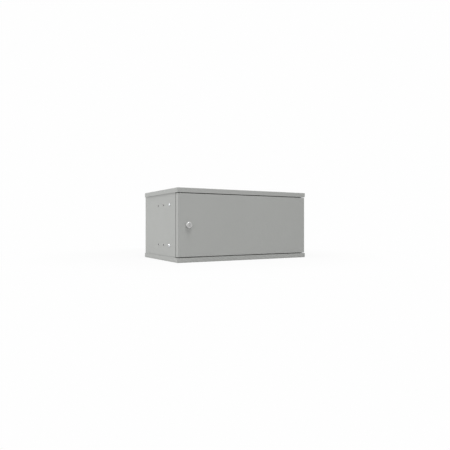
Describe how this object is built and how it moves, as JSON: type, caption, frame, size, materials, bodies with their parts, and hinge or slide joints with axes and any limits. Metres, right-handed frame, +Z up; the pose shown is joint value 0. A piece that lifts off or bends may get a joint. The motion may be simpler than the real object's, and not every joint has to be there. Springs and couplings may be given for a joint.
{
  "type": "wall mount network cabinet",
  "caption": "Shallow wall cabinet of folded grey sheet steel with a solid hinged door, round key lock and standard rack rails inside.",
  "frame": {"origin": "centre of the back panel's rear face, the face that lies on the wall, at mid-width and mid-height", "axes": "+X to the right seen from the front, +Y back into the wall, +Z up; the door faces -Y"},
  "size_m": [0.6016, 0.359, 0.278],
  "materials": {
    "cabinet_paint": "smooth light grey powder coat",
    "zinc_plate": "bright zinc plate",
    "spring_steel": "drawn wire",
    "lock_plating": "satin nickel plate",
    "rotor_metal": "fine turned",
    "bumper_rubber": "matte"
  },
  "bodies": {
    "cabinet": {"top_cover": "cabinet_paint", "bottom_cover": "cabinet_paint", "left_side_panel": "cabinet_paint", "right_side_panel": "cabinet_paint", "back_panel": "cabinet_paint", "top_entry_plate": "cabinet_paint", "bottom_entry_plate": "cabinet_paint", "left_rack_rail": "zinc_plate", "right_rack_rail": "zinc_plate", "upper_hinge_bracket": "zinc_plate", "lower_hinge_bracket": "zinc_plate", "top_cover_nuts": "zinc_plate", "bottom_cover_nuts": "zinc_plate", "back_panel_nuts": "zinc_plate", "left_rail_screws": "zinc_plate", "right_rail_screws": "zinc_plate", "left_rail_nuts": "zinc_plate", "right_rail_nuts": "zinc_plate", "top_entry_screws": "zinc_plate", "bottom_entry_screws": "zinc_plate", "body_earth_washer": "zinc_plate", "body_earth_nut": "zinc_plate", "door_bumpers": "bumper_rubber"},
    "door": {"door": "cabinet_paint", "upper_pin_bracket": "zinc_plate", "lower_pin_bracket": "zinc_plate", "lock_body": "lock_plating", "lock_washer": "zinc_plate", "lock_nut": "zinc_plate", "door_earth_washer": "zinc_plate", "door_earth_nut": "zinc_plate", "upper_hinge_spring": "spring_steel", "lower_hinge_spring": "spring_steel"},
    "lock_plug": {"lock_rotor": "rotor_metal", "lock_cam": "zinc_plate", "cam_washer": "zinc_plate", "cam_screw": "zinc_plate"},
    "upper_pin": {"upper_hinge_pin": "zinc_plate", "upper_pin_clip": "spring_steel"},
    "lower_pin": {"lower_hinge_pin": "zinc_plate", "lower_pin_clip": "spring_steel"}
  },
  "joints": [
    {"name": "door_hinge", "type": "hinge", "parent": "cabinet", "child": "door", "pos_m": [0.289, -0.341, 0], "axis": [0, 0, 1], "range_deg": [0, 180]},
    {"name": "lock_turn", "type": "hinge", "parent": "door", "child": "lock_plug", "pos_m": [-0.255, -0.35, 0], "axis": [0, 1, 0], "range_deg": [0, 90]},
    {"name": "upper_pin_slide", "type": "slide", "parent": "door", "child": "upper_pin", "axis": [0, 0, -1], "range_m": [0, 0.0085], "stiffness_N_per_m": 500, "springref_m": -0.01, "deforming": ["upper_hinge_spring"]},
    {"name": "lower_pin_slide", "type": "slide", "parent": "door", "child": "lower_pin", "axis": [0, 0, 1], "range_m": [0, 0.0085], "stiffness_N_per_m": 500, "springref_m": -0.01, "deforming": ["lower_hinge_spring"]}
  ]
}
